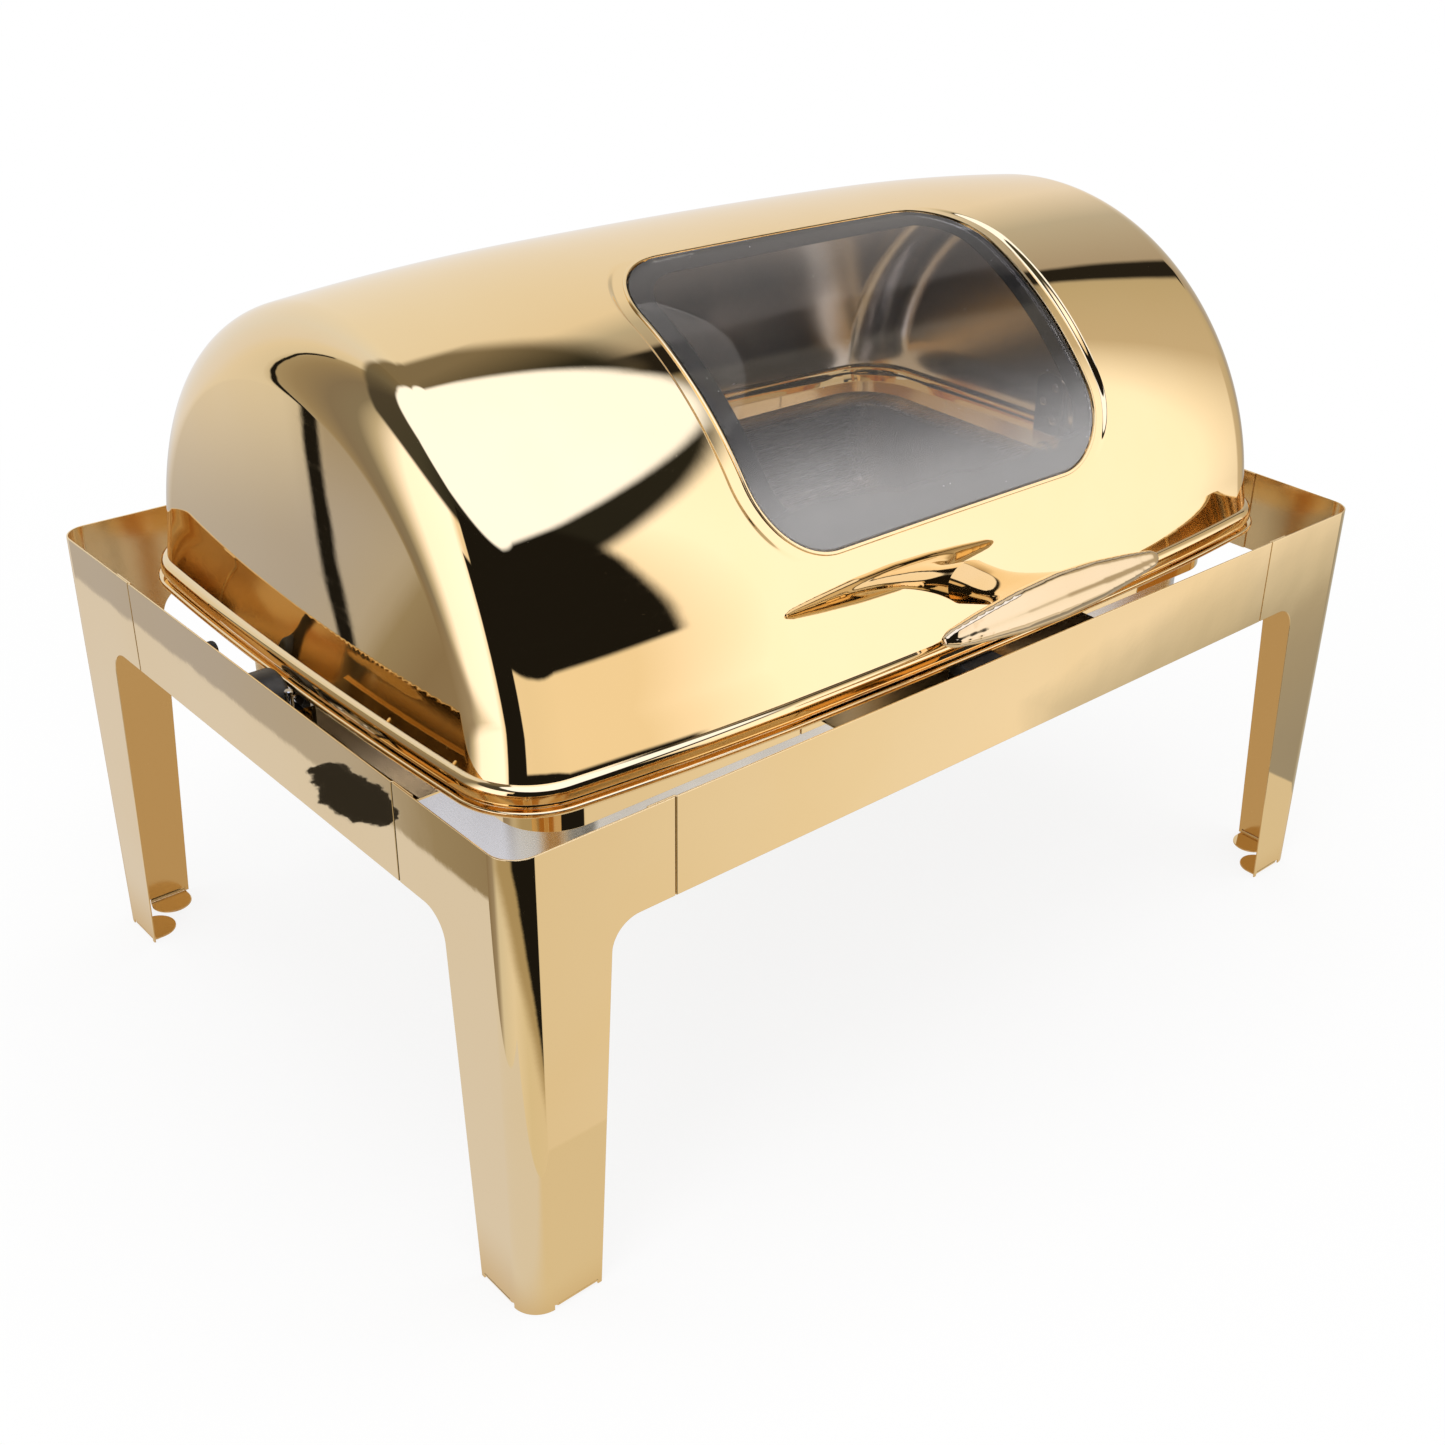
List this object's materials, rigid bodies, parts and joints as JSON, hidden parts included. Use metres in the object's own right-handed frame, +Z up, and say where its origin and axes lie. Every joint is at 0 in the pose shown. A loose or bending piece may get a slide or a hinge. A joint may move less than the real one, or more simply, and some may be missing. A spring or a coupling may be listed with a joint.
{
  "type": "roll top chafer",
  "caption": "Gold-finished roll top chafing dish: barrel lid with a tinted window and a bar handle, nested food and water pans, and an open four-legged sheet stand.",
  "frame": {"origin": "middle of the whole object's footprint on the table, handle included", "axes": "+X along the long front, to the right of a person who faces the handle; -Y towards that person; +Z up"},
  "size_m": [0.65, 0.4864, 0.4519],
  "materials": {
    "gold_stand": "polished gold-coloured stainless steel sheet",
    "gold_lid": "mirror polished gold-coloured stainless steel",
    "gold_trim": "polished gold-coloured stainless steel",
    "gold_handle": "polished gold-plated casting",
    "bright_steel": "bright stainless steel",
    "pan_steel": "satin to mirror stainless steel",
    "black_rubber": "matt black rubber",
    "black_nylon": "moulded black nylon",
    "black_border": "glossy black bonding band",
    "tinted_glass": "clear curved toughened glass with a grey tint"
  },
  "bodies": {
    "stand": {"apron_front": "gold_stand", "apron_left": "gold_stand", "apron_rear": "gold_stand", "apron_right": "gold_stand", "bracket_nuts": "bright_steel", "bracket_screws": "bright_steel", "guide_posts": "bright_steel", "leg_front_left": "gold_stand", "leg_front_right": "gold_stand", "leg_rear_left": "gold_stand", "leg_rear_right": "gold_stand", "lid_bumper": "black_rubber", "pivot_boss_left": "black_nylon", "pivot_boss_right": "black_nylon", "pivot_bracket_left": "bright_steel", "pivot_bracket_right": "bright_steel", "pivot_clips": "bright_steel", "pivot_pin_left": "bright_steel", "pivot_pin_right": "bright_steel", "plate_rivets": "gold_trim", "ring_splice": "gold_stand", "roll_stop_left": "black_rubber", "roll_stop_right": "black_rubber", "shelf_front": "gold_stand", "shelf_left": "gold_stand", "shelf_right": "gold_stand", "side_buffers": "black_rubber", "well_ring": "gold_stand"},
    "lid": {"lid_shell": "gold_lid", "window_trim": "gold_trim", "window_glass": "tinted_glass", "window_seal": "black_border", "handle": "gold_handle", "handle_screws": "bright_steel", "hinge_arm_left": "gold_lid", "hinge_arm_right": "gold_lid", "pivot_bush_left": "black_nylon", "pivot_bush_right": "black_nylon", "arm_rivets": "gold_trim"},
    "water_pan": {"water_pan": "pan_steel"},
    "food_pan": {"food_pan": "pan_steel"}
  },
  "joints": [
    {"name": "lid_roll", "type": "hinge", "parent": "stand", "child": "lid", "pos_m": [0, 0.02375, 0.244], "axis": [-1, 0, 0], "range_deg": [0, 90]},
    {"name": "water_pan_lift", "type": "slide", "parent": "stand", "child": "water_pan", "axis": [0, 0, 1], "range_m": [0, 0.035]},
    {"name": "food_pan_lift", "type": "slide", "parent": "water_pan", "child": "food_pan", "axis": [0, 0, 1], "range_m": [0, 0.045]}
  ]
}
